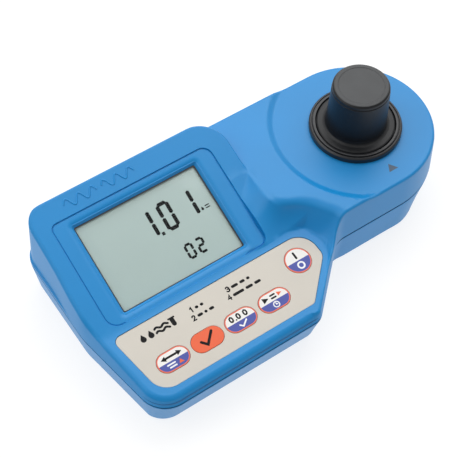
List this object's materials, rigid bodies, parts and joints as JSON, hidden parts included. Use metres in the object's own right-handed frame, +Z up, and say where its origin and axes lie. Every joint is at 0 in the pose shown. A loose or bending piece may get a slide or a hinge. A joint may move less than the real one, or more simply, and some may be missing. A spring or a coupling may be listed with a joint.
{
  "type": "digital water tester",
  "caption": "Hand-held photometer for pool and spa water: wedge case, tilted display over a keypad, and a round head holding a capped glass cuvette.",
  "frame": {"origin": "centre of the bounding box footprint, on the resting plane of the feet", "axes": "+X from the display end to the measuring head, +Y from the user's edge to the far edge, +Z up"},
  "size_m": [0.192, 0.1024, 0.067],
  "materials": {
    "case_blue": "fine moulded texture, satin",
    "seal_rubber": "matt",
    "screw_steel": "plated",
    "black_plastic": "semi-gloss moulded",
    "clear_plastic": "clear polished",
    "lcd_glass": "reflective liquid crystal panel",
    "film_beige": "printed polyester film",
    "key_white": "printed polyester film",
    "key_orange": "printed polyester film",
    "circuit_board": "green solder mask",
    "white_plastic": "soft moulded plastic",
    "vial_glass": "clear polished",
    "filter_glass": "coated",
    "battery_shell": "printed can, satin",
    "lead_red": "insulated wire"
  },
  "bodies": {
    "case": {"upper_case": "case_blue", "lower_case": "case_blue", "battery_box": "case_blue", "case_seal": "seal_rubber", "lcd_contact_strip": "seal_rubber", "foot_1": "seal_rubber", "foot_2": "seal_rubber", "foot_3": "seal_rubber", "foot_4": "seal_rubber", "case_screw_1": "screw_steel", "case_screw_2": "screw_steel", "case_screw_3": "screw_steel", "case_screw_4": "screw_steel", "case_screw_5": "screw_steel", "case_screw_6": "screw_steel", "board_screw_1": "screw_steel", "board_screw_2": "screw_steel", "display_bezel": "black_plastic", "display_window": "clear_plastic", "lcd_glass": "lcd_glass", "keypad_film": "film_beige", "dome_range": "screw_steel", "dome_check": "screw_steel", "dome_zero": "screw_steel", "dome_read": "screw_steel", "dome_power": "screw_steel", "keypad_board": "circuit_board", "main_board": "circuit_board", "lamp_board": "circuit_board", "detector_board": "circuit_board", "keypad_ribbon": "black_plastic", "cuvette_collar": "black_plastic", "cuvette_well": "black_plastic", "lamp": "clear_plastic", "lamp_lens": "vial_glass", "light_filter": "filter_glass", "photodetector": "black_plastic", "battery_9v": "battery_shell", "battery_snap": "black_plastic", "battery_lead_red": "lead_red", "battery_lead_black": "black_plastic"},
    "range_key": {"key_range": "key_white"},
    "check_key": {"key_check": "key_orange"},
    "zero_key": {"key_zero": "key_white"},
    "read_key": {"key_read": "key_white"},
    "power_key": {"key_power": "key_white"},
    "cuvette": {"cuvette_vial": "vial_glass"},
    "stopper": {"cuvette_stopper": "white_plastic"},
    "cap": {"cuvette_cap": "black_plastic"},
    "cover_seal": {"cover_seal_ring": "seal_rubber"},
    "cover": {"battery_cover": "case_blue"}
  },
  "joints": [
    {"name": "range_press", "type": "slide", "parent": "case", "child": "range_key", "axis": [0, 0.1172, -0.9931], "range_m": [0, 0.0004]},
    {"name": "check_press", "type": "slide", "parent": "case", "child": "check_key", "axis": [0, 0.1172, -0.9931], "range_m": [0, 0.0004]},
    {"name": "zero_press", "type": "slide", "parent": "case", "child": "zero_key", "axis": [0, 0.1172, -0.9931], "range_m": [0, 0.0004]},
    {"name": "read_press", "type": "slide", "parent": "case", "child": "read_key", "axis": [0, 0.1172, -0.9931], "range_m": [0, 0.0004]},
    {"name": "power_press", "type": "slide", "parent": "case", "child": "power_key", "axis": [0, 0.1172, -0.9931], "range_m": [0, 0.0004]},
    {"name": "cuvette_lift", "type": "slide", "parent": "case", "child": "cuvette", "axis": [0, 0, 1], "range_m": [0, 0.06]},
    {"name": "stopper_rise", "type": "slide", "parent": "cuvette", "child": "stopper", "axis": [0, 0, 1], "range_m": [0, 0.0046]},
    {"name": "cap_unscrew", "type": "hinge", "parent": "stopper", "child": "cap", "pos_m": [0.0589, 0.01415, 0.05], "axis": [0, 0, 1], "range_deg": [0, 540]},
    {"name": "cover_lift_off", "type": "slide", "parent": "case", "child": "cover_seal", "axis": [0, 0, -1], "range_m": [0, 0.02]},
    {"name": "cover_turn", "type": "hinge", "parent": "cover_seal", "child": "cover", "pos_m": [-0.046, 0.008, 0.002], "axis": [0, 0, 1], "range_deg": [-60, 0]}
  ],
  "couplings": [
    {"joint": "stopper_rise", "follows": "cap_unscrew", "m_per_rad": 0.00047746}
  ]
}
